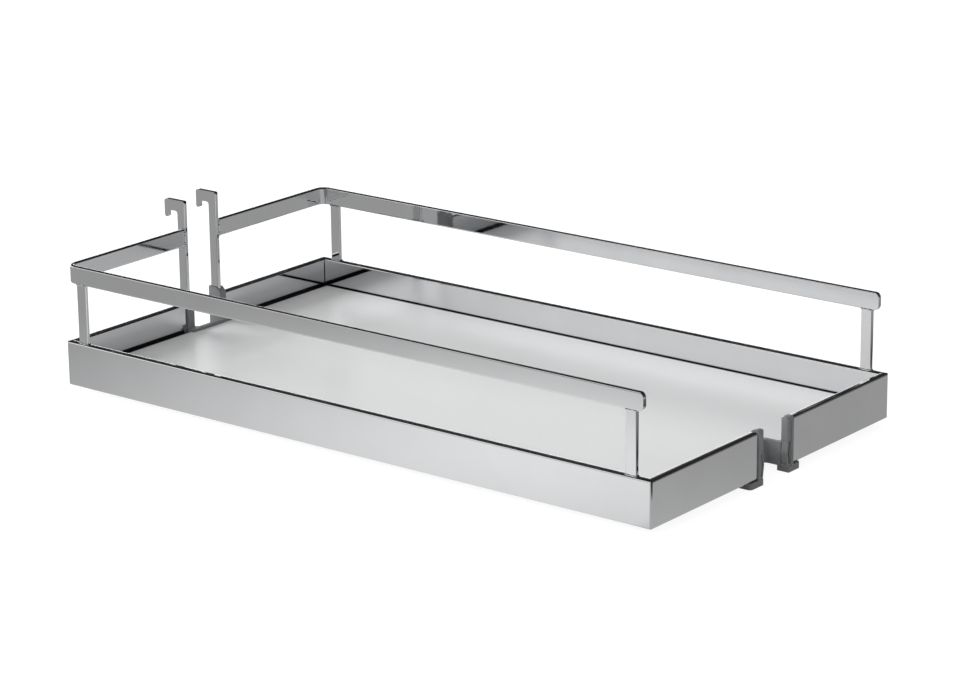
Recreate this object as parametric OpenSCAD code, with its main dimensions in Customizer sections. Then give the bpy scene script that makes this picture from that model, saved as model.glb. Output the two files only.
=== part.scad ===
// Hang-in shelf tray of a pull-out larder: chromed flat-tube walls with a gallery rail,
// two rear hooks, a coated floor board and two moulded clips that grip the larder's uprights.
// +X runs from the hooks to the spring clip, +Y to the tray's right side, +Z up.
// The origin is under the middle of the whole part, on the surface that its feet stand on.

/* [Walls] */
// Length of the tray over its end walls
tray_l = 467; // [300:1:600]
// Width of the tray over its side walls
tray_w = 256; // [180:1:400]
// Height of the flat wall tube
wall_h = 30; // [25:0.5:40]
// Thickness of the flat wall tube
wall_t = 4.5; // [4.2:0.1:6]
// Radius of the wall tube's rounded edges
wall_r = 1.5; // [1.3:0.1:1.9]
// Thickness of the tube's steel
tube_gauge = 1; // [0.6:0.1:1.2]
// Radius of the ground outer corners
corner_r = 1.4; // [1:0.1:2.5]

/* [Gallery rail] */
// Height of the rail's top edge over the walls' lower edge
rail_top = 81.5; // [65:0.5:120]
// Height of the flat rail bar
rail_h = 12; // [8:0.5:16]
// Thickness of the flat rail bar
rail_t = 3; // [2.2:0.1:4]
// Radius of the rail bar's rounded edges
rail_r = 1; // [0.4:0.1:1]
// Outer radius of the rail's rear bend
rail_bend_r = 8; // [6:0.5:14]
// Radius of the rounded corners at the rail's free end
rail_end_r = 4; // [2:0.5:5]
// Distance of the rail's free end from the tray's front face
rail_inset = 6.4; // [2:0.1:10]

/* [Posts] */
// Width of a post along the tray
post_w = 8.2; // [5:0.1:12]
// Thickness of a post
post_t = 2.5; // [2:0.1:3.5]
// Radius of the posts' rounded edges
post_r = 0.9; // [0.3:0.1:0.95]
// Distance of the rear posts from the tray's rear face
rear_post_inset = 10.2; // [9.5:0.1:30]
// Distance of the front posts from the tray's front face
front_post_inset = 11; // [11:0.1:30]

/* [Hooks] */
// Clear width between the two hook uprights
hook_gap = 27.8; // [27.4:0.1:29]
// Thickness of a hook plate
hook_t = 3; // [2:0.1:4]
// Depth of a hook's shank
shank_d = 6.4; // [4:0.1:7]
// Height of the hooks' top over the walls' lower edge
hook_top = 100.5; // [90:0.5:140]
// Width of the throat that drops over the larder's bar
throat_w = 8.5; // [5:0.1:9]
// Width of the hook's down-turned tip
tip_w = 3; // [2.6:0.1:7]
// Height of the plate over the throat
head_h = 7.5; // [6:0.1:9]
// Drop of the tip below the throat
tip_drop = 5; // [3.2:0.1:8]
// Radius of the shank's upright edges on the inner side of the tray
hook_edge_r = 0.8; // [0.3:0.1:0.95]
// Radius of the hook's outer and throat corners
hook_r = 1.8; // [0.8:0.1:2.2]
// Height of the shank's foot over the walls' lower edge
shank_foot = 5.5; // [2:0.5:10]

/* [Board] */
// Thickness of the floor board
board_t = 6; // [5:0.5:7]
// Height of the board's top over the walls' lower edge
board_top = 11; // [10.5:0.1:12.5]
// Gap between the board and the side walls
board_side_gap = 1.5; // [0.5:0.1:3]
// Gap between the board and the end walls
board_end_gap = 3; // [2:0.1:5]

/* [Struts] */
// Width of a flat cross strut under the board
strut_w = 18; // [12:1:25]
// Thickness of a cross strut
strut_t = 2; // [1.5:0.1:2.4]
// Distance of the outer struts from the tray's end faces
strut_inset = 70; // [55:1:90]

/* [Clips] */
// Clear width of the clips' channels, for a 25 mm upright
channel_w = 25.6; // [25.1:0.1:26]
// Depth of the front clip's channel from the tray's front face
front_depth = 16; // [14:0.5:22]
// Depth of the rear clip's channel from the tray's rear face
rear_depth = 8.4; // [7.5:0.1:12]
// Thickness of the clips' side arms and cross web
web_t = 2.5; // [2:0.1:3.5]
// Height of the front clip's rim over the board
rim_h = 3.2; // [2:0.1:4]
// Height of the rear clip's rim over the board
rear_rim_h = 2.2; // [1.5:0.1:4]
// Radius of the rear rim's corners
rim_r = 3.5; // [1:0.1:4]
// Drop of the arms below the walls' lower edge
arm_drop = 0.7; // [0.6:0.1:1.5]
// Radius of the channel's inner corners
channel_r = 2.5; // [1:0.1:4]
// Width of a front cap, from the channel to the tube's cut end
cap_w = 6; // [5.6:0.1:8]
// How far a cap's pad stands proud of the tube
cap_proud = 0.4; // [0.2:0.1:0.5]
// How far a cap's flange stands proud of the tube
flange_proud = 0.8; // [0.6:0.1:1.2]
// Width of a cap's flange beside the tube's cut end
flange_w = 2.4; // [1.5:0.1:2.6]
// Radius of the caps' upright edges
cap_r = 1.2; // [0.6:0.1:1.6]
// Length of a cap's plug inside the tube
plug_l = 10; // [6:0.5:16]
// Clearance of the plastic round the steel
clip_fit = 0.15; // [0.1:0.01:0.3]
// Height of the feet below the walls' lower edge
foot_h = 4.4; // [3:0.1:9]
// Depth of a foot along the tray
foot_d = 8.4; // [7:0.1:9]
// Set-back of a foot's inner face from the channel
foot_setback = 1; // [0.2:0.1:1.2]
// Length of a foot across the tray
foot_l = 13.2; // [9:0.1:20]
// Radius of a foot's outer corner
foot_r = 2.6; // [1:0.1:5]
// Gap between a foot and the tube over it
foot_gap = 0.5; // [0.2:0.1:0.5]

/* [Spring leaves] */
// Height of a leaf's lower root over the walls' lower edge
leaf_low = 1; // [0.5:0.1:3]
// Height of a leaf's upper root over the walls' lower edge
leaf_top = 15.2; // [14:0.1:18]
// Thickness of a leaf
leaf_t = 1.4; // [1.2:0.1:1.8]
// How far a leaf's crest stands into the channel
leaf_crest = 0.6; // [0.3:0.1:0.8]
// Bow of a leaf between its roots
leaf_bow = 0.95; // [0.7:0.05:1.2]
// Width of the slit behind a leaf
slit_w = 1.3; // [1.1:0.1:1.5]
// Running clearance at the ends and the edges of a leaf
leaf_play = 0.1; // [0.05:0.01:0.2]
// Gap between a leaf's rear edge and the cap's shoulder
leaf_rear_gap = 0.5; // [0.2:0.1:0.8]

/* [Rear collars] */
// How far a collar reaches behind the tray's rear face
collar_back = 4.8; // [3.6:0.1:7]
// Thickness of a collar on the wall's inner side
collar_skin = 1.4; // [1:0.1:2.2]
// Width of a collar across the tray
collar_w = 6.1; // [5.8:0.1:9]
// Height of the collars over the walls' upper edge
collar_rise = 3.8; // [2:0.1:8]
// Slope of a collar's top on the wall's inner side
collar_chamfer = 3; // [1.5:0.1:3.4]
// Thickness of the collar's lip between the channel and the hook's slot
pocket_skin = 0.5; // [0.4:0.05:0.6]

/* [Clip plates] */
// Length of a clip's plate under the board
plate_l = 25; // [18:1:30]
// Half width of a clip's plate under the board
plate_half_w = 25; // [22:1:40]
// Thickness of a clip's plate
plate_t = 3; // [2:0.1:3.4]
// Radius of the plates' corners
plate_r = 6; // [2:0.5:8]
// Thickness of the ribs under a plate
rib_t = 1.6; // [1:0.1:2.2]
// Distance between the ribs' middles
rib_pitch = 8; // [5:0.5:8]
// Distance of the ribs' ends from the plate's free edge
rib_end_gap = 4; // [2:0.5:8]

/* [Screws] */
// Shank diameter of the screws
screw_d = 3.5; // [3:0.1:4.5]
// Head diameter of the screws
screw_head_d = 6.8; // [6:0.1:8]
// Head height of the screws
screw_head_h = 2; // [1.5:0.1:2.4]
// Radius of the heads' domes
screw_dome_r = 4.2; // [4:0.1:6]
// Width of the cross slots in the heads
slot_w = 0.8; // [0.6:0.1:1.2]
// Depth of the cross slots in the heads
slot_depth = 1; // [0.6:0.1:1.4]
// Board left over the screws' points
screw_cover = 1.5; // [1:0.1:2.5]
// Distance of the board screws from the tray's middle plane
screw_y = 80; // [50:1:85]
// Distance of the clip screws from the tray's middle plane
plate_screw_y = 16; // [13:0.5:16]

/* [Fits] */
// Clearance of a screw's shank in its pilot hole
screw_fit = 0.05; // [0.02:0.01:0.08]
// Clearance of a screw's shank in a strut or plate
hole_fit = 0.25; // [0.1:0.05:0.5]
// Gap between the board's notches and the clips
edge_gap = 0.3; // [0.2:0.1:1]

/* [Hidden] */

$fn = 64;
// How far a cutter runs past the face that it cuts
over = 1;
// How far two shapes of one moulding run into each other
bond = 0.5;
// Least radius of the edges inside the tube
least_r = 0.1;

half_w = tray_w / 2;
side_y = half_w - wall_t / 2;
hook_inner = hook_gap / 2;
hook_outer = hook_inner + hook_t;
hook_front = wall_t / 2 + rail_t / 2;
hook_back = hook_front - shank_d;
hook_tip = hook_back - throat_w - tip_w;
channel_y = channel_w / 2;
front_end_y = channel_y + cap_w;
board_bottom = board_top - board_t;
strut_z = board_bottom - strut_t;
rim_z = board_top + rim_h;
arm_y = channel_y + web_t;
front_web_x = tray_l - front_depth;
leaf_back_x = tray_l - wall_t + leaf_rear_gap;
leaf_front_x = tray_l + cap_proud - 2 * leaf_play;
leaf_crest_y = channel_y - leaf_crest;
leaf_crest_z = (leaf_low + leaf_top) / 2;
collar_end_y = channel_y + collar_w;
collar_front_x = wall_t + collar_skin;
collar_top = wall_h + collar_rise;
strut_x = [strut_inset, tray_l / 2, tray_l - strut_inset];
front_plate_x = front_web_x - web_t - plate_l / 2;
rear_plate_x = rear_depth + web_t + plate_l / 2;

// Puts the tray's own frame, which starts at the rear face and the walls' lower edge,
// into the part's frame.
module place() {
    translate([(hook_tip - flange_proud - tray_l) / 2 - hook_tip, 0, foot_h]) children();
}

// Repeats a piece of the far side on the near side.
module both_sides() {
    children();
    mirror([0, 1, 0]) children();
}

module near_side() {
    mirror([0, 1, 0]) children();
}

// Outline of a flat bar of width w and height h with edges rounded to r,
// standing on the X axis of its plane.
module flat_outline(w, h, r) {
    translate([-w / 2, r]) square([w, h - 2 * r]);
    translate([r - w / 2, 0]) square([w - 2 * r, h]);
    for (x = [r - w / 2, w / 2 - r], y = [r, h - r]) translate([x, y]) circle(r);
}

// Section of the wall tube with its steel grown by grow all round.
module tube_outline(grow = 0) {
    translate([0, -grow])
        flat_outline(wall_t + 2 * grow, wall_h + 2 * grow, max(wall_r + grow, least_r));
}

module tube_section() {
    difference() {
        tube_outline();
        tube_outline(-tube_gauge);
    }
}

// Runs a section along X, with the section's middle at the given distance from the middle plane.
module run_x(length, y) {
    translate([0, y, 0]) rotate([90, 0, 90]) linear_extrude(length) children();
}

// Runs a section along Y between two distances from the middle plane.
module run_y(from, to, x) {
    translate([x, to, 0]) rotate([90, 0, 0]) linear_extrude(to - from) children();
}

// Outline of the tray seen from above, with its ground corners.
module tray_outline() {
    translate([corner_r, -half_w]) square([tray_l - 2 * corner_r, tray_w]);
    translate([0, corner_r - half_w]) square([tray_l, tray_w - 2 * corner_r]);
    for (x = [corner_r, tray_l - corner_r], y = [corner_r - half_w, half_w - corner_r])
        translate([x, y]) circle(corner_r);
}

// Mitred length of tube along the far side.
module side_tube() {
    intersection() {
        run_x(tray_l, side_y) tube_section();
        linear_extrude(wall_h) intersection() {
            tray_outline();
            polygon([[0, half_w], [wall_t, half_w - wall_t],
                     [tray_l - wall_t, half_w - wall_t], [tray_l, half_w]]);
        }
    }
}

// Mitred length of tube from a cut end at y to the far corner of the rear wall.
module end_tube(y) {
    intersection() {
        run_y(y, half_w, wall_t / 2) tube_section();
        linear_extrude(wall_h) intersection() {
            tray_outline();
            polygon([[0, y], [wall_t, y], [wall_t, half_w - wall_t], [0, half_w]]);
        }
    }
}

// Turns a rear piece round to the front wall.
module at_front() {
    translate([tray_l, 0, 0]) mirror([1, 0, 0]) children();
}

// Flat bar bent at the rear corner, with both corners of its free end rounded.
module rail_bar() {
    middle = wall_t / 2;
    bend_r = rail_bend_r - rail_t / 2;
    bend_x = middle + bend_r;
    bend_y = half_w - bend_x;
    end_x = tray_l - rail_inset;
    difference() {
        translate([0, 0, rail_top - rail_h]) {
            translate([bend_x, 0, 0]) run_x(end_x - bend_x, side_y) rail_section();
            run_y(hook_outer, bend_y, middle) rail_section();
            intersection() {
                translate([bend_x, bend_y, 0]) rotate_extrude()
                    translate([bend_r, 0]) rail_section();
                translate([0, bend_y, -over])
                    cube([bend_x, half_w - bend_y, rail_h + 2 * over]);
            }
        }
        run_y(side_y - rail_t, side_y + rail_t, end_x) {
            translate([0, rail_top]) rotate(180) corner_waste(rail_end_r);
            translate([0, rail_top - rail_h]) rotate(90) corner_waste(rail_end_r);
        }
    }
}

module rail_section() {
    flat_outline(rail_t, rail_h, rail_r);
}

// What a cutter of radius r takes off a square corner at the origin of its plane.
module corner_waste(r) {
    difference() {
        translate([-over, -over]) square(r + over);
        translate([r, r]) circle(r);
    }
}

// Post on the far wall, a flat bar whose foot is coped to the tube's rounded top.
module post(x) {
    difference() {
        translate([x + post_w / 2, side_y - post_t / 2, wall_h - wall_r])
            linear_extrude(rail_top - rail_h - wall_h + wall_r)
                flat_outline(post_w, post_t, post_r);
        run_x(tray_l, side_y) tube_outline();
    }
}

module hook_outline() {
    difference() {
        union() {
            translate([hook_back, shank_foot]) square([shank_d, hook_top - shank_foot]);
            translate([hook_tip, hook_top - head_h]) square([hook_front - hook_tip, head_h]);
            translate([hook_tip, hook_top - head_h - tip_drop + tip_w / 2])
                square([tip_w, tip_drop + head_h / 2]);
            translate([hook_tip + tip_w / 2, hook_top - head_h - tip_drop + tip_w / 2])
                circle(d = tip_w);
            translate([hook_back, hook_top - head_h]) rotate(180) corner_waste(hook_r);
        }
        translate([hook_tip, hook_top]) rotate(-90) corner_waste(hook_r);
        translate([hook_front, hook_top]) rotate(180) corner_waste(hook_r);
    }
}

// Plate of a hook, whose upright edges towards the tray are rounded.
module hook_plate() {
    difference() {
        run_y(hook_inner, hook_outer, 0) hook_outline();
        for (side = [0, 1])
            translate([hook_front, hook_inner + side * hook_t, -over]) rotate(90 + side * 90)
                linear_extrude(hook_top + 2 * over) corner_waste(hook_edge_r);
    }
}

// Flat strut across the tray, under the board, with a screw hole near each end.
module strut(x) {
    difference() {
        translate([x - strut_w / 2, wall_t - half_w, strut_z])
            cube([strut_w, tray_w - 2 * wall_t, strut_t]);
        for (y = [-screw_y, screw_y])
            translate([x, y, strut_z - over])
                cylinder(h = strut_t + 2 * over, d = screw_d + 2 * hole_fit);
    }
}

module pilot_hole(x, y) {
    translate([x, y, board_bottom - over])
        cylinder(h = board_t - screw_cover + screw_fit + over, d = screw_d + 2 * screw_fit);
}

module board() {
    notch_y = arm_y + edge_gap;
    rear_notch_y = collar_end_y + edge_gap;
    end_x = wall_t + board_end_gap;
    edge_y = half_w - wall_t - board_side_gap;
    difference() {
        translate([end_x, -edge_y, board_bottom])
            cube([tray_l - 2 * end_x, 2 * edge_y, board_t]);
        translate([0, -rear_notch_y, board_bottom - over])
            cube([rear_depth + web_t + edge_gap, 2 * rear_notch_y, board_t + 2 * over]);
        translate([front_web_x - web_t - edge_gap, -notch_y, board_bottom - over])
            cube([front_depth + web_t + edge_gap, 2 * notch_y, board_t + 2 * over]);
        for (x = strut_x, y = [-screw_y, screw_y]) pilot_hole(x, y);
        for (x = [front_plate_x, rear_plate_x], y = [-plate_screw_y, plate_screw_y]) pilot_hole(x, y);
    }
}

// Pan-head screw pointing up, with the underside of its head at the origin.
module screw(length) {
    difference() {
        rotate_extrude() {
            square([screw_d / 2, length]);
            intersection() {
                translate([0, -screw_head_h]) square([screw_head_d / 2, screw_head_h]);
                translate([0, screw_dome_r - screw_head_h]) circle(screw_dome_r);
            }
        }
        for (a = [0, 90])
            rotate(a) translate([-screw_head_d / 4, -slot_w / 2, -screw_head_h - over])
                cube([screw_head_d / 2, slot_w, slot_depth + over]);
    }
}

// Channel and web of a clip, with the web's inner face at x = 0 and the mouth towards +X.
// The arms reach out to outer_y from the middle, their outer corners are rounded to outer_r,
// and they run on by the given overlap into the moulding's next shape.
module channel_walls(reach, overlap, outer_y, outer_r) {
    inner_r = min(channel_r, reach);
    edge_r = min(outer_r, web_t + reach);
    difference() {
        translate([-web_t, -outer_y]) square([web_t + reach + overlap, 2 * outer_y]);
        difference() {
            translate([0, -channel_y]) square([reach + overlap + over, channel_w]);
            for (s = [-1, 1]) scale([1, s]) translate([0, -channel_y]) corner_fillet(inner_r);
        }
        for (s = [-1, 1]) scale([1, s]) translate([-web_t, -outer_y]) corner_waste(edge_r);
    }
}

// What a fillet of radius r adds in the inner corner at the origin of its plane.
module corner_fillet(r) {
    difference() {
        square(r);
        translate([r, r]) circle(r);
    }
}

// Plate that screws the clip under the board, behind the web.
module clip_plate() {
    start = -web_t - plate_l;
    difference() {
        translate([0, 0, board_bottom - plate_t]) linear_extrude(plate_t) {
            translate([start, plate_r - plate_half_w])
                square([plate_l + bond, 2 * (plate_half_w - plate_r)]);
            translate([start + plate_r, -plate_half_w])
                square([plate_l - 2 * plate_r, 2 * plate_half_w]);
            for (x = [start + plate_r, -web_t - plate_r], s = [-1, 1])
                translate([x, s * (plate_half_w - plate_r)]) circle(plate_r);
        }
        for (y = [-plate_screw_y, plate_screw_y])
            translate([-web_t - plate_l / 2, y, board_bottom - plate_t - over])
                cylinder(h = plate_t + 2 * over, d = screw_d + 2 * hole_fit);
    }
    for (y = [-rib_pitch, 0, rib_pitch])
        translate([start + rib_end_gap, y - rib_t / 2, -arm_drop])
            cube([plate_l - rib_end_gap + bond, rib_t, board_bottom - plate_t + arm_drop + bond]);
}

// Foot of the far side with a rounded outer corner; x is its face at the tray's end.
module foot() {
    translate([0, channel_y + foot_setback, -foot_h]) linear_extrude(foot_h - foot_gap) {
        translate([-foot_d, 0]) square([foot_d, foot_l - foot_r]);
        translate([-foot_d, 0]) square([foot_d - foot_r, foot_l]);
        translate([-foot_r, foot_l - foot_r]) circle(foot_r);
    }
}

// Bent strip of the leaf's outline: the two halves lean away from the crest on both sides,
// between the given distances behind the leaf's front face, with play at both roots.
module leaf_outline(front, back, play) {
    polygon([
        [leaf_crest_y + front, leaf_low + play], [leaf_crest_y + front - leaf_bow, leaf_crest_z],
        [leaf_crest_y + front, leaf_top - play], [leaf_crest_y + back, leaf_top - play],
        [leaf_crest_y + back - leaf_bow, leaf_crest_z], [leaf_crest_y + back, leaf_low + play]
    ]);
}

// Bent leaf of the far side, with its crest towards the channel.
module leaf() {
    translate([leaf_back_x, 0, 0]) run_x(leaf_front_x - leaf_back_x, 0)
        leaf_outline(leaf_bow, leaf_bow + leaf_t, leaf_play);
}

// Room for the leaf and for the slit behind it, open towards the channel.
module leaf_room() {
    translate([tray_l - wall_t - over, 0, 0]) run_x(wall_t + 2 * over, 0)
        leaf_outline(leaf_bow - leaf_crest - over, leaf_bow + leaf_t + slit_w, 0);
}

// Section of a front cap: the tube's rounded top over a lower half that runs down to the foot.
module cap_outline(grow) {
    tube_outline(grow);
    translate([-wall_t / 2 - grow, -foot_gap - bond])
        square([wall_t + 2 * grow, wall_h / 2]);
}

// Cap on the cut end of the far front tube: a pad beside the channel and a flange at the tube.
module front_cap() {
    back_x = tray_l - wall_t - cap_proud;
    middle_x = tray_l - wall_t / 2;
    difference() {
        intersection() {
            translate([0, 0, -foot_h]) linear_extrude(wall_h + foot_h + over) {
                translate([back_x, channel_y + cap_r])
                    square([wall_t + 2 * cap_proud, cap_w - cap_r]);
                translate([back_x + cap_r, channel_y])
                    square([wall_t + 2 * cap_proud - 2 * cap_r, cap_w]);
                for (x = [back_x + cap_r, tray_l + cap_proud - cap_r])
                    translate([x, channel_y + cap_r]) circle(cap_r);
            }
            run_y(channel_y, front_end_y, middle_x) cap_outline(cap_proud);
        }
        leaf_room();
    }
    run_y(front_end_y - flange_w, front_end_y, middle_x) cap_outline(flange_proud);
    run_y(front_end_y - bond, front_end_y + plug_l, middle_x)
        tube_outline(-tube_gauge - clip_fit);
    translate([tray_l + flange_proud, 0, 0]) foot();
    // The shoulder fills the gap between the board and the wall.
    shoulder_x = tray_l - wall_t - board_end_gap + edge_gap;
    translate([shoulder_x, channel_y, -arm_drop])
        cube([tray_l - wall_t - shoulder_x, cap_w, rim_z + arm_drop]);
}

// What a chamfer takes off a square corner at the origin of its plane.
module corner_chamfer(c) {
    polygon([[-over, -over], [c + over, -over], [-over, c + over]]);
}

// Collar round the foot of the far hook and the cut end of the far rear tube.
module collar() {
    pocket_y = channel_y + pocket_skin;
    difference() {
        translate([0, 0, -arm_drop]) linear_extrude(collar_top + arm_drop) {
            translate([-collar_back, channel_y + cap_r])
                square([collar_front_x + collar_back, collar_w - cap_r]);
            translate([cap_r - collar_back, channel_y])
                square([collar_front_x + collar_back - cap_r, collar_w]);
            translate([cap_r - collar_back, channel_y + cap_r]) circle(cap_r);
        }
        run_y(hook_outer - clip_fit, collar_end_y + over, wall_t / 2) tube_outline(clip_fit);
        translate([hook_back - clip_fit, pocket_y, shank_foot - clip_fit])
            cube([shank_d + 2 * clip_fit, hook_outer + clip_fit - pocket_y, collar_top]);
        run_y(channel_y - over, collar_end_y + over, collar_front_x)
            translate([0, collar_top]) rotate(180) corner_chamfer(collar_chamfer);
    }
    translate([-collar_back, 0, 0]) mirror([1, 0, 0]) foot();
}

steel = [0.72, 0.73, 0.75];
plastic = [0.36, 0.37, 0.38];
coated = [0.86, 0.87, 0.88];
zinc = [0.6, 0.61, 0.62];

module wall_side_near() color(steel) place() near_side() side_tube();
module wall_side_far() color(steel) place() side_tube();
module wall_front_near() color(steel) place() near_side() at_front() end_tube(front_end_y);
module wall_front_far() color(steel) place() at_front() end_tube(front_end_y);
module wall_rear_near() color(steel) place() near_side() end_tube(hook_outer);
module wall_rear_far() color(steel) place() end_tube(hook_outer);
module rail_near() color(steel) place() near_side() rail_bar();
module rail_far() color(steel) place() rail_bar();
module post_front_near() color(steel) place() near_side() post(tray_l - front_post_inset - post_w);
module post_front_far() color(steel) place() post(tray_l - front_post_inset - post_w);
module post_rear_near() color(steel) place() near_side() post(rear_post_inset);
module post_rear_far() color(steel) place() post(rear_post_inset);
module hook_upright_near() color(steel) place() near_side() hook_plate();
module hook_upright_far() color(steel) place() hook_plate();
module floor_board() color(coated) place() board();
module cross_strut_front() color(steel) place() strut(strut_x[2]);
module cross_strut_middle() color(steel) place() strut(strut_x[1]);
module cross_strut_rear() color(steel) place() strut(strut_x[0]);

module front_clip() color(plastic) place() {
    translate([front_web_x, 0, 0]) {
        translate([0, 0, -arm_drop]) linear_extrude(rim_z + arm_drop)
            channel_walls(front_depth - wall_t, 0, arm_y, channel_r);
        clip_plate();
    }
    both_sides() front_cap();
}

module rear_clip() color(plastic) place() {
    translate([rear_depth, 0, 0]) mirror([1, 0, 0]) {
        translate([0, 0, -arm_drop]) linear_extrude(board_top + rear_rim_h + arm_drop)
            channel_walls(rear_depth - collar_front_x, bond, collar_end_y, rim_r);
        clip_plate();
    }
    both_sides() collar();
}

module front_leaf_near() color(plastic) place() near_side() leaf();
module front_leaf_far() color(plastic) place() leaf();

module board_screws() color(zinc) place() {
    for (x = strut_x, y = [-screw_y, screw_y])
        translate([x, y, strut_z]) screw(strut_t + board_t - screw_cover);
}

module clip_screws() color(zinc) place() {
    for (x = [front_plate_x, rear_plate_x], y = [-plate_screw_y, plate_screw_y])
        translate([x, y, board_bottom - plate_t]) screw(plate_t + board_t - screw_cover);
}

wall_side_near();
wall_side_far();
wall_front_near();
wall_front_far();
wall_rear_near();
wall_rear_far();
rail_near();
rail_far();
post_front_near();
post_front_far();
post_rear_near();
post_rear_far();
hook_upright_near();
hook_upright_far();
floor_board();
cross_strut_front();
cross_strut_middle();
cross_strut_rear();
front_clip();
rear_clip();
front_leaf_near();
front_leaf_far();
board_screws();
clip_screws();
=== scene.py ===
"""Looks of a hang-in larder tray: bright chrome tube and bar, a coated board and dark moulded clips.

The tray's rear, with the hooks, points to -x and its near side to -y. It stands on a pale table top, lit by
a key lamp from the rear and a fill lamp from the near side. Round it polished metal sees a low bright band
at the rear, which goes on dimmer at the near side with a soft screen over it, a dim backdrop across from the
camera, a glow on the table top, and dark elsewhere, which gives the chrome's round edges their black lines.
"""

import math

import bmesh
import bpy
import numpy as np
from mathutils import Matrix, Vector


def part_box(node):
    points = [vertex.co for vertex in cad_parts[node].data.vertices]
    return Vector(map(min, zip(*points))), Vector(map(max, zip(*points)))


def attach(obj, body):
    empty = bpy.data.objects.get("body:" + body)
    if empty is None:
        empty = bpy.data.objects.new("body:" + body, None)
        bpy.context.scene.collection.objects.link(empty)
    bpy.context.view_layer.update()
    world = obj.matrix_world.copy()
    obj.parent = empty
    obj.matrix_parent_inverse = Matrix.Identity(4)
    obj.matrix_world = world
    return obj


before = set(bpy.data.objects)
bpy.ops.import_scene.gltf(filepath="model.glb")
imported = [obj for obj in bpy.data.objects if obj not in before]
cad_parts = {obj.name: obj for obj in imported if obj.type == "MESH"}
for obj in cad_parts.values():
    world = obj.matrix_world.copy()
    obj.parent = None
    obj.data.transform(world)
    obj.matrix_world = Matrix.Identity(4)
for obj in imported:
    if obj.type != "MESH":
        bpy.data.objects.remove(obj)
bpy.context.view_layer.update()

MM = 0.001

# Camera, in the picture's pixels, degrees and metres
IMAGE_W = 960
SENSOR_MM = 36.0
FOCAL_PX = 3354.05
CAMERA_AZIMUTH = 38.43
CAMERA_ELEVATION = 16.93
CAMERA_ROLL = -0.66
CAMERA_TARGET = Vector((-12.585, 35.18, 30.76)) * MM
CAMERA_DISTANCE = 2181.74 * MM
CAMERA_SEES_TO = 50.0
TO_CAMERA = (math.sin(math.radians(CAMERA_AZIMUTH)), -math.cos(math.radians(CAMERA_AZIMUTH)), 0.0)

# Lamps: place, width, and the brightness that each gives a white face turned to it
KEY_FROM = Vector((-4.95, -0.3, 2.25))
KEY_SIZE = 2.4
KEY_LIGHT = 0.80
FILL_FROM = Vector((-0.9, -3.4, 1.5))
FILL_SIZE = 2.8
FILL_LIGHT = 0.70
AMBIENT = 0.54

# The studio in polished metal: elevations in degrees, each with its blur, and the strength of each light. An
# END is the range of a direction's share along an axis in which a light fades out sideways.
DARK = 0.02
BAND_TOP = 11.5
BAND_BLUR = 1.5
BAND_END = (-0.5, -0.1)
BAND_RADIANCE = 2.8
NEAR_BAND = 0.33
NEAR_BAND_END = (-0.68, -0.55)
BACKDROP_TOP = 26.0
BACKDROP_BLUR = 4.0
BACKDROP_END = (-0.35, -0.1)
BACKDROP_RADIANCE = 0.07
SCREEN_TOWARDS = (-0.6, -0.75, 0)
SCREEN_END = (0.7, 0.85)
SCREEN_BOTTOM = 13.0
SCREEN_TOP = 28.0
SCREEN_BLUR = 2.0
SCREEN_RADIANCE = 1.15
CEILING_FROM = 62.0
CEILING_BLUR = 8.0
CEILING_RADIANCE = 0.09

# The table top in polished metal: places and ranges in metres, in which its glow turns from one strength to
# the next
TABLE_GLOW = 0.41
POOL_GLOW = 0.62
POOL_CENTRE = (0.10, -0.20, 0.0)
POOL_REACH = (0.48, 0.30, 1.0)
POOL_EDGE = (0.215, 0.247)
PAST_POOL_EDGE = 0.30
CAMERA_EDGE = (0.31, 0.39)
CAMERA_EDGE_END = (0.12, 0.20)
FRONT_EDGE = (0.295, 0.315)
FRONT_EDGE_END = (0.24, 0.34)
FRONT_EDGE_PAST = (0.345, 0.430)
PAST_EDGE_END = 0.8
# Edge of the tray's painted shadow on the table top's glow, measured out from the tray's middle line
TRAY_SHADOW_EDGE = (0.105, 0.128)

# The floor itself
FLOOR_SIZE = 12.0
FLOOR_TINT = (0.85, 0.85, 0.85, 1.0)
PAPER = 0.90
PAPER_FAR = (0.45, 0.90)
SHADOW_TINT = (0.22, 0.22, 0.22, 1.0)

# Finishes: tints, noise patterns and bumps by the names of their nodes' sockets, with cells per metre and a
# depth in metres, and the ranges of roughness and tone that a pattern gives
EVEN = (1, 1, 1)
NOISE_SWING = (0.3, 0.7)
FAINT_TONE = (0.985, 1.015)

CHROME_TINT = (0.695, 0.700, 0.708)
POLISH_ACROSS = 900.0
POLISH_ALONG = 14.0
POLISH_LINES = {"Scale": 1.0, "Detail": 4.0, "Roughness": 0.6}
POLISH_BUMP = {"Strength": 0.05, "Distance": 0.00002}
POLISH_ROUGHNESS = (0.0, 0.015)
CHROME_HAZE = {"Scale": 34.0, "Detail": 3.0, "Roughness": 0.55}
HAZE_ROUGHNESS = (0.015, 0.04)

# Mitre seams: a near-black dull tint in the walls' inner corners, painted shade of the crease
SEAM_SHADE_TINT = (0.060, 0.060, 0.062)
SEAM_HAZE = {"Scale": 300.0, "Detail": 3.0, "Roughness": 0.55}
SEAM_TONE = (0.9, 1.1)
SEAM_ROUGHNESS = (0.25, 0.4)

BOARD_TINT = (0.805, 0.810, 0.817)
# Near-black tint on the board's upright faces and a thin rim on its top: painted shade of the gap between
# board and walls
GAP_SHADE_TINT = (0.030, 0.030, 0.032, 1.0)
BOARD_GRAIN = {"Scale": 2600.0, "Detail": 2.0, "Roughness": 0.5}
BOARD_CLOUDS = {"Scale": 9.0, "Detail": 3.0, "Roughness": 0.5}
BOARD_BUMP = {"Strength": 0.12, "Distance": 0.00003}
BOARD_ROUGHNESS = (0.24, 0.32)
LACQUER_ROUGHNESS = 0.34
GAP_SHADE_RIM = 1.0 * MM
GAP_SHADE_BLUR = 0.1
TOP_FACE = (0.3, 0.6)

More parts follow.
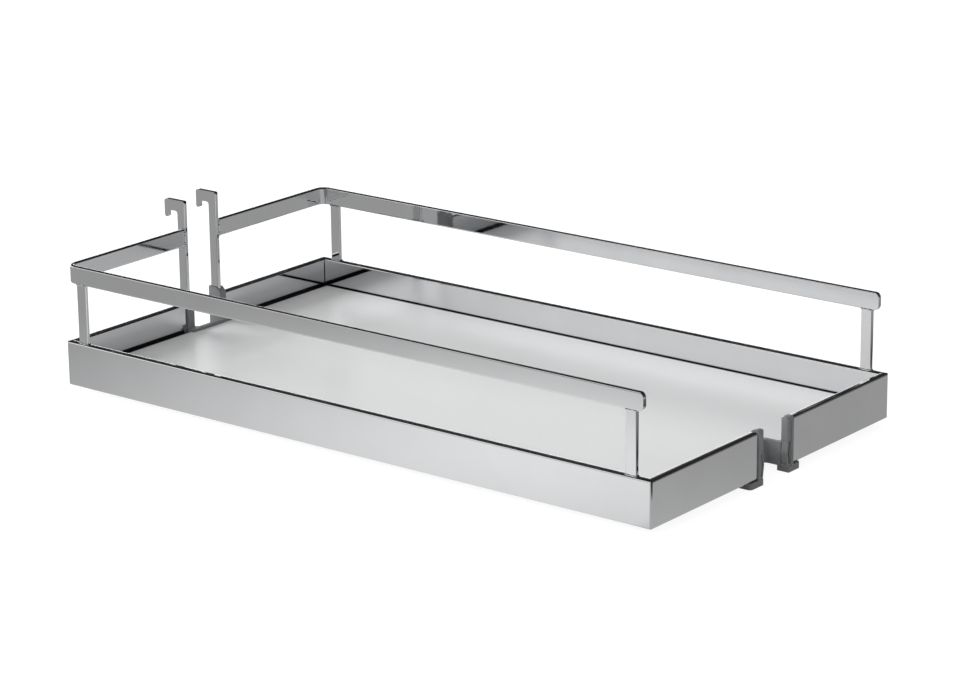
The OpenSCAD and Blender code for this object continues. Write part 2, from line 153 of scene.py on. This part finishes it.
CLIP_TINT = (0.190, 0.193, 0.199)
CLIP_GRAIN = {"Scale": 3200.0, "Detail": 3.0, "Roughness": 0.6}
CLIP_CLOUDS = {"Scale": 120.0, "Detail": 2.0, "Roughness": 0.5}
CLIP_BUMP = {"Strength": 0.3, "Distance": 0.00004}
CLIP_TONE = (0.93, 1.07)
CLIP_ROUGHNESS = (0.36, 0.5)

ZINC_TINT = (0.600, 0.610, 0.640)
ZINC_MOTTLE = {"Scale": 900.0, "Detail": 3.0, "Roughness": 0.6}
ZINC_BUMP = {"Strength": 0.15, "Distance": 0.00004}
ZINC_TONE = (0.9, 1.08)
ZINC_ROUGHNESS = (0.2, 0.36)

# Weld beads: a SWELL is a share of the radius, and a PHASE shifts the waves from one bead to the next
BEAD_STEPS = 144
BEAD_SIDES = 12
BEAD_SQUARENESS = 5.0
BEAD_RADIUS = 0.55 * MM
BEAD_POOLS = 22
POOL_SWELL = 0.16
BEAD_WAVES = 5
WAVE_SWELL = 0.1
STRUT_BEAD_RADIUS = 0.9 * MM
LINE_SWELL = 0.14
TIP_POWER = 0.25
SEAM_RADIUS = 0.45 * MM
SEAM_TOP = 1.2 * MM
POST_PHASE = 1.7
HOOK_PHASE = 2.3
STRUT_PHASE = 1.1
MERGE_WITHIN = 1e-7

# Colour sockets of the Mix node, by number because their names repeat
MIX_FACTOR = 0
MIX_FIRST = 6
MIX_SECOND = 7
MIX_RESULT = 2


# Steps of a material's or the world's node tree


def add(tree, kind, inputs=None, **settings):
    """Adds a node; a value in inputs is set on the socket, and a socket in inputs is linked to it."""
    made = tree.nodes.new(kind)
    for name, value in settings.items():
        setattr(made, name, value)
    for name, value in (inputs or {}).items():
        if isinstance(value, bpy.types.NodeSocket):
            tree.links.new(value, made.inputs[name])
        else:
            made.inputs[name].default_value = value
    return made


def new_material(name):
    made = bpy.data.materials.new(name)
    made.use_nodes = True
    made.node_tree.nodes.clear()
    return made, made.node_tree


def finish_material(tree, shader):
    add(tree, "ShaderNodeOutputMaterial", {"Surface": shader.outputs[0]})


def object_space(tree):
    return add(tree, "ShaderNodeTexCoord").outputs["Object"]


def noise(tree, pattern, stretch=EVEN):
    """Noise of a pattern on Object coordinates, which a scale for each axis stretches."""
    place = add(tree, "ShaderNodeMapping", {"Vector": object_space(tree), "Scale": stretch})
    return add(tree, "ShaderNodeTexNoise", {"Vector": place.outputs["Vector"], **pattern}).outputs["Fac"]


def bumped(tree, height, bump):
    """Normal of a surface with a noise as its relief."""
    return add(tree, "ShaderNodeBump", {"Height": height, **bump}).outputs["Normal"]


def change_range(tree, value, start, end, first, last, interpolation="LINEAR"):
    """Maps the range from start to end to the one from first to last, and keeps to it."""
    made = add(
        tree,
        "ShaderNodeMapRange",
        {"Value": value, "From Min": start, "From Max": end, "To Min": first, "To Max": last},
        interpolation_type=interpolation,
    )
    return made.outputs["Result"]


def spread(tree, value, low, high):
    """Maps a noise from the range that it mostly keeps to low and high."""
    return change_range(tree, value, *NOISE_SWING, low, high)


def fade(tree, value, start, end, first, last):
    """First where the value is under start, last where it is over end, and a smooth turn between them."""
    return change_range(tree, value, start, end, first, last, "SMOOTHSTEP")


def combine(tree, operation, first, *others):
    """Carries out an operation of two values on the first value and each of the others in turn."""
    for other in others:
        first = add(tree, "ShaderNodeMath", {0: first, 1: other}, operation=operation).outputs[0]
    return first


def product(tree, *values):
    return combine(tree, "MULTIPLY", *values)


def total(tree, *values):
    return combine(tree, "ADD", *values)


def least(tree, *values):
    return combine(tree, "MINIMUM", *values)


def most(tree, *values):
    return combine(tree, "MAXIMUM", *values)


def vector_step(tree, operation, *vectors, result="Vector"):
    """Carries out one operation on vectors. Its result is a vector, or a number where it says Value."""
    made = add(tree, "ShaderNodeVectorMath", dict(enumerate(vectors)), operation=operation)
    return made.outputs[result]


def dot(tree, vector, direction):
    return vector_step(tree, "DOT_PRODUCT", vector, direction, result="Value")


def blend_colours(tree, factor, first, second):
    """First colour where the factor is 0 and second colour where it is 1."""
    made = add(
        tree,
        "ShaderNodeMix",
        {MIX_FACTOR: factor, MIX_FIRST: first, MIX_SECOND: second},
        data_type="RGBA",
    )
    return made.outputs[MIX_RESULT]


def tinted(tree, value, tint, tone):
    """A tint, darker or lighter by a factor in the range tone."""
    shade = add(
        tree, "ShaderNodeVectorMath", {0: tint, "Scale": spread(tree, value, *tone)}, operation="SCALE"
    )
    return shade.outputs["Vector"]


# Finishes of the tray's pieces


def chrome(name, along):
    """Bright chrome with faint polishing lines that run along one axis, and a thin haze."""
    made, tree = new_material(name)
    stretch = [POLISH_ACROSS] * 3
    stretch["XYZ".index(along)] = POLISH_ALONG
    lines = noise(tree, POLISH_LINES, stretch)
    haze = noise(tree, CHROME_HAZE)
    shader = add(
        tree,
        "ShaderNodeBsdfPrincipled",
        {
            "Base Color": tinted(tree, haze, CHROME_TINT, FAINT_TONE),
            "Metallic": 1.0,
            "Roughness": total(
                tree, spread(tree, lines, *POLISH_ROUGHNESS), spread(tree, haze, *HAZE_ROUGHNESS)
            ),
            "Normal": bumped(tree, lines, POLISH_BUMP),
        },
    )
    finish_material(tree, shader)
    return made


def painted_seam_shade():
    """Dull near-black metal in a mitre's inner corner: painted shade of the crease where two walls meet."""
    made, tree = new_material("chrome_seam")
    haze = noise(tree, SEAM_HAZE)
    shader = add(
        tree,
        "ShaderNodeBsdfPrincipled",
        {
            "Base Color": tinted(tree, haze, SEAM_SHADE_TINT, SEAM_TONE),
            "Metallic": 1.0,
            "Roughness": spread(tree, haze, *SEAM_ROUGHNESS),
        },
    )
    finish_material(tree, shader)
    return made


def top_clear_of_gap_shade(tree):
    """1 on the board's top and underside, and 0 where the painted shade of the gap goes: on its upright
    faces and on the thin rim along them.
    """
    normal = add(tree, "ShaderNodeNewGeometry").outputs["Normal"]
    upright = dot(tree, vector_step(tree, "ABSOLUTE", normal), (0, 0, 1))
    flat = fade(tree, upright, *TOP_FACE, 0.0, 1.0)
    low, high = (Vector(corner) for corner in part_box("floor_board"))
    offset = vector_step(tree, "SUBTRACT", object_space(tree), (low + high) / 2)
    inset = vector_step(tree, "SUBTRACT", (high - low) / 2, vector_step(tree, "ABSOLUTE", offset))
    edge = least(tree, dot(tree, inset, (1, 0, 0)), dot(tree, inset, (0, 1, 0)))
    inner = fade(tree, edge, (1 - GAP_SHADE_BLUR) * GAP_SHADE_RIM, (1 + GAP_SHADE_BLUR) * GAP_SHADE_RIM, 0.0, 1.0)
    return least(tree, flat, inner)


def coated_board():
    """Pale silver-grey coating under a satin lacquer: a fine pearl grain and slight clouding. Its upright
    faces and a thin rim along them on its top are painted near-black: painted shade of the gap between the
    board and the walls."""
    made, tree = new_material("coated_board")
    grain = noise(tree, BOARD_GRAIN)
    clouded = tinted(tree, noise(tree, BOARD_CLOUDS), BOARD_TINT, FAINT_TONE)
    shader = add(
        tree,
        "ShaderNodeBsdfPrincipled",
        {
            # Painted shade of the gap: near-black on the board's upright faces and its thin top rim
            "Base Color": blend_colours(tree, top_clear_of_gap_shade(tree), GAP_SHADE_TINT, clouded),
            "Roughness": spread(tree, grain, *BOARD_ROUGHNESS),
            "Coat Weight": 1.0,
            "Coat Roughness": LACQUER_ROUGHNESS,
            "Normal": bumped(tree, grain, BOARD_BUMP),
        },
    )
    finish_material(tree, shader)
    return made


def clip_plastic():
    """Dark grey moulding with a fine eroded grain, a little uneven in tone."""
    made, tree = new_material("clip_plastic")
    grain = noise(tree, CLIP_GRAIN)
    shader = add(
        tree,
        "ShaderNodeBsdfPrincipled",
        {
            "Base Color": tinted(tree, noise(tree, CLIP_CLOUDS), CLIP_TINT, CLIP_TONE),
            "Roughness": spread(tree, grain, *CLIP_ROUGHNESS),
            "Normal": bumped(tree, grain, CLIP_BUMP),
        },
    )
    finish_material(tree, shader)
    return made


def screw_zinc():
    """Bright zinc with a mottled crystal tone."""
    made, tree = new_material("zinc_screws")
    mottle = noise(tree, ZINC_MOTTLE)
    shader = add(
        tree,
        "ShaderNodeBsdfPrincipled",
        {
            "Base Color": tinted(tree, mottle, ZINC_TINT, ZINC_TONE),
            "Metallic": 1.0,
            "Roughness": spread(tree, mottle, *ZINC_ROUGHNESS),
            "Normal": bumped(tree, mottle, ZINC_BUMP),
        },
    )
    finish_material(tree, shader)
    return made


chrome_x = chrome("chrome_along_x", "X")
chrome_y = chrome("chrome_along_y", "Y")
chrome_z = chrome("chrome_along_z", "Z")
chrome_weld = chrome("chrome_weld", "Z")
chrome_seam = painted_seam_shade()
board_coat = coated_board()
moulding = clip_plastic()
zinc = screw_zinc()

FINISH = {
    "wall_side": chrome_x,
    "wall_front": chrome_y,
    "wall_rear": chrome_y,
    "rail": chrome_x,
    "post": chrome_z,
    "hook_upright": chrome_z,
    "cross_strut": chrome_y,
    "floor_board": board_coat,
    "front_clip": moulding,
    "rear_clip": moulding,
    "front_leaf": moulding,
    "board_screws": zinc,
    "clip_screws": zinc,
}


def dress(node):
    """Puts the finish of its family on a CAD node."""
    family = next(name for name in FINISH if node.name.startswith(name))
    node.data.materials.clear()
    node.data.materials.append(FINISH[family])


for cad_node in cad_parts.values():
    dress(cad_node)


# Weld beads, and the seams of the mitres, which carry painted shade


def surface(name, points, finish, closed_rows=True):
    """Mesh of a grid of points, an array of rows by columns by 3. The columns close on themselves, and so do
    the rows where closed_rows is true; otherwise the first and the last row are each a single point."""
    rows, columns = points.shape[:2]
    index = np.arange(rows * columns).reshape(rows, columns)
    last = rows if closed_rows else rows - 1
    next_row = np.roll(index, -1, axis=0)[:last]
    corners = (index[:last], np.roll(index, -1, axis=1)[:last], np.roll(next_row, -1, axis=1), next_row)
    faces = np.stack(corners, axis=-1).reshape(-1, 4)
    data = bpy.data.meshes.new(name)
    data.from_pydata(points.reshape(-1, 3).tolist(), [], faces.tolist())
    bound = bmesh.new()
    bound.from_mesh(data)
    bmesh.ops.remove_doubles(bound, verts=bound.verts, dist=MERGE_WITHIN)
    bmesh.ops.recalc_face_normals(bound, faces=bound.faces)
    bound.to_mesh(data)
    bound.free()
    data.shade_smooth()
    data.materials.append(finish)
    made = bpy.data.objects.new(name, data)
    bpy.context.scene.collection.objects.link(made)
    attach(made, "tray")
    return made


def carried_circle(path, radius, out, over):
    """Points of a circle carried along a path: path + radius (cos turn out + sin turn over). The radius is
    an array with a value for each point of the path, and out and over are directions square to the path."""
    turn = np.linspace(0, 2 * np.pi, BEAD_SIDES, endpoint=False)[None, :, None]
    out, over = (np.broadcast_to(side, path.shape)[:, None, :] for side in (out, over))
    return path[:, None, :] + radius[:, None, None] * (np.cos(turn) * out + np.sin(turn) * over)


def bead_ring(centre, half_u, half_v, axis_u, axis_v, phase):
    """Weld bead round a joint. The path is the superellipse |u / half_u|^n + |v / half_v|^n = 1, the bead's
    section a circle whose radius swells and shrinks with the angle along the path, as a row of weld pools
    does: radius times (1 + pool swell cos(pools angle) + wave swell sin(waves angle + phase))."""
    angle = np.linspace(0, 2 * np.pi, BEAD_STEPS, endpoint=False)
    power = 2 / BEAD_SQUARENESS
    cosine, sine = np.cos(angle), np.sin(angle)
    u = half_u * np.sign(cosine) * np.abs(cosine) ** power
    v = half_v * np.sign(sine) * np.abs(sine) ** power
    axis_u, axis_v = np.array(axis_u, float), np.array(axis_v, float)
    path = np.array(centre) + u[:, None] * axis_u + v[:, None] * axis_v
    slope_u = np.sign(u) * np.abs(u / half_u) ** (BEAD_SQUARENESS - 1) / half_u
    slope_v = np.sign(v) * np.abs(v / half_v) ** (BEAD_SQUARENESS - 1) / half_v
    outward = slope_u[:, None] * axis_u + slope_v[:, None] * axis_v
    outward /= np.linalg.norm(outward, axis=1, keepdims=True)
    swell = 1 + POOL_SWELL * np.cos(BEAD_POOLS * angle) + WAVE_SWELL * np.sin(BEAD_WAVES * angle + phase)
    return carried_circle(path, BEAD_RADIUS * swell, outward, np.cross(axis_u, axis_v))


def bead_line(start, end, radius, phase, across=(0, 0, 1)):
    """Straight weld bead between two points. Its section is a circle of radius times the fourth root of
    sin(pi t), so that it starts and ends in a rounded tip, times (1 + line swell cos(pools 2 pi t + phase)).
    The direction across is any that isn't along the bead."""
    t = np.linspace(0, 1, BEAD_STEPS)
    start, end = np.array(start, float), np.array(end, float)
    along = (end - start) / np.linalg.norm(end - start)
    side = np.cross(along, across)
    tip = np.clip(np.sin(np.pi * t), 0, 1) ** TIP_POWER
    swell = 1 + LINE_SWELL * np.cos(BEAD_POOLS * 2 * np.pi * t + phase)
    path = start + t[:, None] * (end - start)
    return carried_circle(path, radius * tip * swell, side, np.cross(side, along))


def box_corners(node):
    """Low and high corner of a CAD node's box, as arrays."""
    return (np.array(corner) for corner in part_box(node))


def post_beads():
    """Beads at the foot of each post, on the wall's top, and at its head, where it enters the rail."""
    wall_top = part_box("wall_side_near")[1][2]
    for number, node in enumerate(("post_front_near", "post_front_far", "post_rear_near", "post_rear_far")):
        low, high = box_corners(node)
        middle, half = (low + high) / 2, (high - low) / 2
        for part, level in (("foot", wall_top), ("head", high[2])):
            centre = (middle[0], middle[1], level)
            ring = bead_ring(centre, half[0], half[1], (1, 0, 0), (0, 1, 0), POST_PHASE * number)
            surface(f"weld_{part}_{node}", ring, chrome_weld)


def rail_hook_beads():
    """Beads where the rail's rear length ends on the outer side of each hook."""
    for number, side in enumerate(("near", "far")):
        hook_low, hook_high = box_corners("hook_upright_" + side)
        low, high = box_corners("rail_" + side)
        half_x, half_z = (hook_high[0] - low[0]) / 2, (high[2] - low[2]) / 2
        outer = hook_low[1] if side == "near" else hook_high[1]
        centre = (low[0] + half_x, outer, low[2] + half_z)
        ring = bead_ring(centre, half_x, half_z, (1, 0, 0), (0, 0, 1), HOOK_PHASE * number)
        surface("weld_rail_hook_" + side, ring, chrome_weld)


def strut_beads():
    """Beads under both ends of each strut."""
    for number, place in enumerate(("front", "middle", "rear")):
        low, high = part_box("cross_strut_" + place)
        for side, name in ((-1, "near"), (1, "far")):
            start, end = ((x, side * high[1], low[2]) for x in (low[0], high[0]))
            bead = bead_line(start, end, STRUT_BEAD_RADIUS, STRUT_PHASE * number)
            surface(f"weld_strut_{place}_{name}", bead, chrome_weld, closed_rows=False)


def mitre_seams():
    """Upright seams in the four inner corners of the walls, from the board's underside to just under the
    walls' top, in a near-black finish that paints the shade of the corners."""
    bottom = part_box("floor_board")[0][2]
    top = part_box("wall_side_near")[1][2] - SEAM_TOP
    for end, x in (("front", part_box("wall_front_near")[0][0]), ("rear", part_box("wall_rear_near")[1][0])):
        for side, y in (("near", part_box("wall_side_near")[1][1]), ("far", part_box("wall_side_far")[0][1])):
            bead = bead_line((x, y, bottom), (x, y, top), SEAM_RADIUS, 0.0, across=(0, 1, 0))
            surface(f"weld_mitre_{end}_{side}", bead, chrome_seam, closed_rows=False)


post_beads()
rail_hook_beads()
strut_beads()
mitre_seams()


# Camera, table top, lamps and studio


def camera():
    """Camera at the photograph's angle, turned round its own axis by the roll."""
    level = math.cos(math.radians(CAMERA_ELEVATION))
    back = Vector(TO_CAMERA) * level + Vector((0, 0, math.sin(math.radians(CAMERA_ELEVATION))))
    data = bpy.data.cameras.new("camera")
    data.sensor_width = SENSOR_MM
    data.lens = FOCAL_PX * SENSOR_MM / IMAGE_W
    data.clip_end = CAMERA_SEES_TO
    made = bpy.data.objects.new("camera", data)
    bpy.context.scene.collection.objects.link(made)
    upright = back.to_track_quat("Z", "Y").to_matrix().to_4x4()
    roll = Matrix.Rotation(math.radians(CAMERA_ROLL), 4, "Z")
    made.matrix_world = Matrix.Translation(CAMERA_TARGET + back * CAMERA_DISTANCE) @ upright @ roll
    bpy.context.scene.camera = made


def kinds_of_ray(tree):
    """First, 1 for rays that show the background itself: from the camera, or through glass. Second, 1 for
    rays that polished metal mirrors to the camera, and 0 for light that only falls on the board by way of
    the metal."""
    path = add(tree, "ShaderNodeLightPath").outputs
    direct = most(tree, path["Is Camera Ray"], path["Is Transmission Ray"])
    scattered = least(tree, path["Diffuse Depth"], 1.0)
    mirrored = combine(tree, "GREATER_THAN", path["Is Glossy Ray"], scattered)
    return direct, mirrored


def from_middle_line(tree, place):
    """How far a place lies from the tray's middle line, sideways or past its ends, in such a way that it is
    half the tray's width all along the tray's outline."""
    half_length, half_width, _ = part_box("wall_side_far")[1]
    out = vector_step(tree, "ABSOLUTE", place)
    beyond = combine(tree, "SUBTRACT", dot(tree, out, (1, 0, 0)), half_length - half_width)
    return most(tree, beyond, dot(tree, out, (0, 1, 0)))


def table_glow(tree, place):
    """What polished metal sees of the table top: brightest in a soft pool of light, with a painted shadow
    under the tray, and dark past the table's front edge and the edge on the camera's side."""
    pool = add(
        tree,
        "ShaderNodeMapping",
        {"Vector": place, "Location": POOL_CENTRE, "Scale": POOL_REACH},
        vector_type="TEXTURE",
    )
    reach = vector_step(tree, "LENGTH", pool.outputs["Vector"], result="Value")
    along_x = dot(tree, place, (1, 0, 0))
    along_y = dot(tree, place, (0, 1, 0))
    pool_glow = product(
        tree,
        fade(tree, reach, 0.0, 1.0, POOL_GLOW, 0.0),
        fade(tree, along_x, *POOL_EDGE, 1.0, PAST_POOL_EDGE),
    )
    camera_edge = most(
        tree,
        fade(tree, dot(tree, place, TO_CAMERA), *CAMERA_EDGE, 1.0, DARK),
        fade(tree, along_x, *CAMERA_EDGE_END, 0.0, PAST_EDGE_END),
    )
    front_edge = most(
        tree,
        fade(tree, along_x, *FRONT_EDGE, 1.0, DARK),
        fade(tree, along_y, *FRONT_EDGE_END, 0.0, PAST_EDGE_END),
        fade(tree, along_x, *FRONT_EDGE_PAST, 0.0, 1.0),
    )
    # Painted shadow: the glow goes dark under the tray
    outside_tray_shadow = fade(tree, from_middle_line(tree, place), *TRAY_SHADOW_EDGE, DARK, 1.0)
    glow = total(tree, pool_glow, TABLE_GLOW)
    return product(tree, glow, least(tree, camera_edge, front_edge), outside_tray_shadow)


def floor_material():
    """White to the camera apart from the tray's faint shadow; polished metal sees the table top's glow."""
    made, tree = new_material("pale_floor")
    place = object_space(tree)
    table = add(tree, "ShaderNodeEmission", {"Strength": table_glow(tree, place)})
    lit = add(tree, "ShaderNodeBsdfDiffuse", {"Color": FLOOR_TINT})
    shadow = add(tree, "ShaderNodeBsdfDiffuse", {"Color": SHADOW_TINT})
    reach = vector_step(tree, "LENGTH", place, result="Value")
    white = add(tree, "ShaderNodeEmission", {"Strength": fade(tree, reach, *PAPER_FAR, PAPER, 1.0)})
    paper = add(tree, "ShaderNodeAddShader", {0: shadow.outputs[0], 1: white.outputs[0]})
    direct, mirrored = kinds_of_ray(tree)
    unseen = add(tree, "ShaderNodeMixShader", {0: mirrored, 1: lit.outputs[0], 2: table.outputs[0]})
    shown = add(tree, "ShaderNodeMixShader", {0: direct, 1: unseen.outputs[0], 2: paper.outputs[0]})
    finish_material(tree, shown)
    return made


def floor():
    data = bpy.data.meshes.new("floor")
    half = FLOOR_SIZE / 2
    corner_points = [(-half, -half, 0), (half, -half, 0), (half, half, 0), (-half, half, 0)]
    data.from_pydata(corner_points, [], [(0, 1, 2, 3)])
    data.materials.append(floor_material())
    made = bpy.data.objects.new("floor", data)
    bpy.context.scene.collection.objects.link(made)


def soft_lamp(name, place, size, light):
    """Square lamp aimed at the tray. The brightness light is what it gives a white face turned to it.
    Polished metal and the camera don't see it."""
    data = bpy.data.lights.new(name, "AREA")
    data.shape = "SQUARE"
    data.size = size
    data.energy = light * math.pi * math.pi * place.length_squared
    made = bpy.data.objects.new(name, data)
    bpy.context.scene.collection.objects.link(made)
    made.location = place
    made.rotation_euler = place.to_track_quat("Z", "Y").to_euler()
    made.visible_camera = False
    made.visible_glossy = False


def edge_sines(elevation, blur):
    """Sines of two elevations in degrees, a little under and over the one given."""
    return [math.sin(math.radians(elevation + step)) for step in (-blur, blur)]


def below(tree, height, elevation, blur):
    """1 for directions under an elevation and 0 for those over it, with a soft edge. The height is the sine
    of a direction's own elevation."""
    return fade(tree, height, *edge_sines(elevation, blur), 1.0, 0.0)


def above(tree, height, elevation, blur):
    """0 for directions under an elevation and 1 for those over it, with a soft edge."""
    return fade(tree, height, *edge_sines(elevation, blur), 0.0, 1.0)


def studio_glow(tree):
    """What polished metal sees round the tray: the brightest of the band, the screen, the backdrop and the
    ceiling in each direction."""
    way = add(tree, "ShaderNodeTexCoord").outputs["Generated"]
    height = dot(tree, way, (0, 0, 1))
    band = product(
        tree,
        fade(tree, dot(tree, way, (1, 0, 0)), *BAND_END, 1.0, 0.0),
        fade(tree, dot(tree, way, (0, 1, 0)), *NEAR_BAND_END, NEAR_BAND, 1.0),
        below(tree, height, BAND_TOP, BAND_BLUR),
        BAND_RADIANCE,
    )
    screen = product(
        tree,
        fade(tree, dot(tree, way, SCREEN_TOWARDS), *SCREEN_END, 0.0, SCREEN_RADIANCE),
        above(tree, height, SCREEN_BOTTOM, SCREEN_BLUR),
        below(tree, height, SCREEN_TOP, SCREEN_BLUR),
    )
    behind = product(
        tree,
        fade(tree, dot(tree, way, TO_CAMERA), *BACKDROP_END, 1.0, 0.0),
        below(tree, height, BACKDROP_TOP, BACKDROP_BLUR),
    )
    backdrop = change_range(tree, behind, 0.0, 1.0, DARK, BACKDROP_RADIANCE)
    ceiling = product(tree, above(tree, height, CEILING_FROM, CEILING_BLUR), CEILING_RADIANCE)
    return most(tree, band, backdrop, screen, ceiling)


def studio():
    """World: white to the camera, the studio's glow to polished metal, and an even light on all else."""
    world = bpy.data.worlds.new("studio")
    world.use_nodes = True
    tree = world.node_tree
    tree.nodes.clear()
    metal, ambient, white = (
        add(tree, "ShaderNodeBackground", {"Color": (1, 1, 1, 1), "Strength": strength})
        for strength in (studio_glow(tree), AMBIENT, 1.0)
    )
    direct, mirrored = kinds_of_ray(tree)
    unseen = add(tree, "ShaderNodeMixShader", {0: mirrored, 1: ambient.outputs[0], 2: metal.outputs[0]})
    shown = add(tree, "ShaderNodeMixShader", {0: direct, 1: unseen.outputs[0], 2: white.outputs[0]})
    add(tree, "ShaderNodeOutputWorld", {"Surface": shown.outputs[0]})
    bpy.context.scene.world = world


camera()
floor()
soft_lamp("key", KEY_FROM, KEY_SIZE, KEY_LIGHT)
soft_lamp("fill", FILL_FROM, FILL_SIZE, FILL_LIGHT)
studio()
bpy.context.scene.view_settings.view_transform = "Standard"
